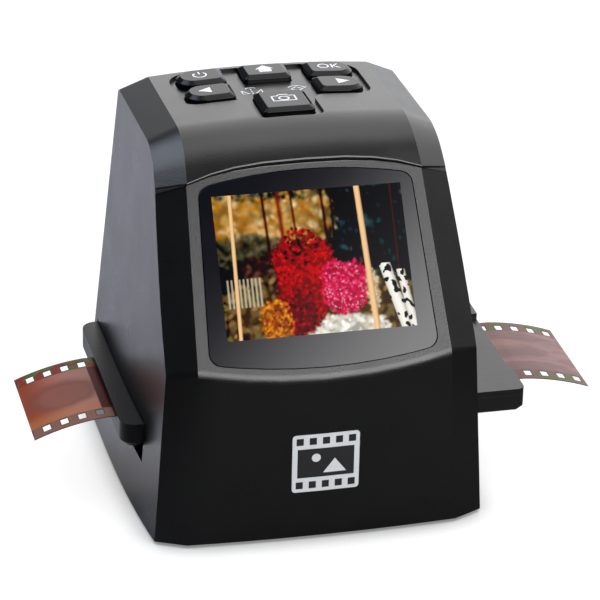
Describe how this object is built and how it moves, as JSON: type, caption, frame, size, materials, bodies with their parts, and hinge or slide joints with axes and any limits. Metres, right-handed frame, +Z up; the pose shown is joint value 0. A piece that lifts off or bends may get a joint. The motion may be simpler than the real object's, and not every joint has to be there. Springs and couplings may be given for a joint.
{
  "type": "film negative scanner",
  "caption": "Upright desktop film scanner with a sloping screen, keys on its roof and a film tray that slides through both side walls.",
  "frame": {"origin": "middle of the housing's footprint, on the surface that the rubber feet stand on", "axes": "+Z up, +X to the right of someone facing the screen and along the tray's travel as it is pulled out, -Y out of the front"},
  "size_m": [0.1534, 0.087, 0.1033],
  "materials": {
    "casing": "fine spark-eroded texture",
    "rubber": "smooth",
    "screw_steel": "zinc plated",
    "window_glass": "clear polished, black printed border",
    "foam": "closed-cell foam",
    "lcd_metal": "pressed frame",
    "inner_plastic": "plain moulded",
    "circuit_board": "solder mask",
    "switch_metal": "tinned sheet",
    "white_plastic": "reflective white",
    "white_board": "white solder mask",
    "lamp": "phosphor",
    "diffuser_plastic": "opal",
    "lens_glass": "coated",
    "chip": "moulded package",
    "key_plastic": "polished",
    "tray_plastic": "fine lengthwise texture",
    "film": "developed colour negative"
  },
  "bodies": {
    "housing": {"housing_shell": "casing", "rear_cover": "casing", "base_plate": "casing", "rubber_feet": "rubber", "base_screws": "screw_steel", "rear_screws": "screw_steel", "screen_window": "window_glass", "screen_gasket": "foam", "lcd_panel": "lcd_metal", "lcd_bracket": "inner_plastic", "bracket_screws": "screw_steel", "button_board": "circuit_board", "tact_switches": "switch_metal", "button_board_screws": "screw_steel", "tray_guide": "inner_plastic", "guide_screws": "screw_steel", "backlight_case": "white_plastic", "led_board": "white_board", "backlight_leds": "lamp", "diffuser": "diffuser_plastic", "optics_hood": "inner_plastic", "hood_screws": "screw_steel", "lens_barrel": "inner_plastic", "lens_glass": "lens_glass", "sensor_board": "circuit_board", "image_sensor": "chip", "main_board": "circuit_board", "main_board_screws": "screw_steel", "processor_chips": "chip", "usb_port": "switch_metal", "card_socket": "switch_metal"},
    "tray": {"tray_base": "tray_plastic", "tray_lid": "tray_plastic", "hinge_pins": "screw_steel"},
    "film": {"film_strip": "film"},
    "power_key": {"power_button": "key_plastic"},
    "left_key": {"left_button": "key_plastic"},
    "ok_key": {"ok_button": "key_plastic"},
    "right_key": {"right_button": "key_plastic"},
    "home_key": {"home_button": "key_plastic"},
    "capture_key": {"capture_button": "key_plastic"}
  },
  "joints": [
    {"name": "tray_slide", "type": "slide", "parent": "housing", "child": "tray", "axis": [1, 0, 0], "range_m": [0, 0.1]},
    {"name": "film_feed", "type": "slide", "parent": "tray", "child": "film", "axis": [1, 0, 0], "range_m": [-0.0015, 0.0015]},
    {"name": "power_press", "type": "slide", "parent": "housing", "child": "power_key", "axis": [0.0516, -0.0367, -0.998], "range_m": [0, 0.0006], "stiffness_N_per_m": 1500},
    {"name": "left_press", "type": "slide", "parent": "housing", "child": "left_key", "axis": [0.0516, -0.0367, -0.998], "range_m": [0, 0.0006], "stiffness_N_per_m": 1500},
    {"name": "ok_press", "type": "slide", "parent": "housing", "child": "ok_key", "axis": [-0.0516, -0.0367, -0.998], "range_m": [0, 0.0006], "stiffness_N_per_m": 1500},
    {"name": "right_press", "type": "slide", "parent": "housing", "child": "right_key", "axis": [-0.0516, -0.0367, -0.998], "range_m": [0, 0.0006], "stiffness_N_per_m": 1500},
    {"name": "home_press", "type": "slide", "parent": "housing", "child": "home_key", "axis": [0, -0.0367, -0.9993], "range_m": [0, 0.0006], "stiffness_N_per_m": 1500},
    {"name": "capture_press", "type": "slide", "parent": "housing", "child": "capture_key", "axis": [0, -0.0367, -0.9993], "range_m": [0, 0.0006], "stiffness_N_per_m": 1500}
  ]
}
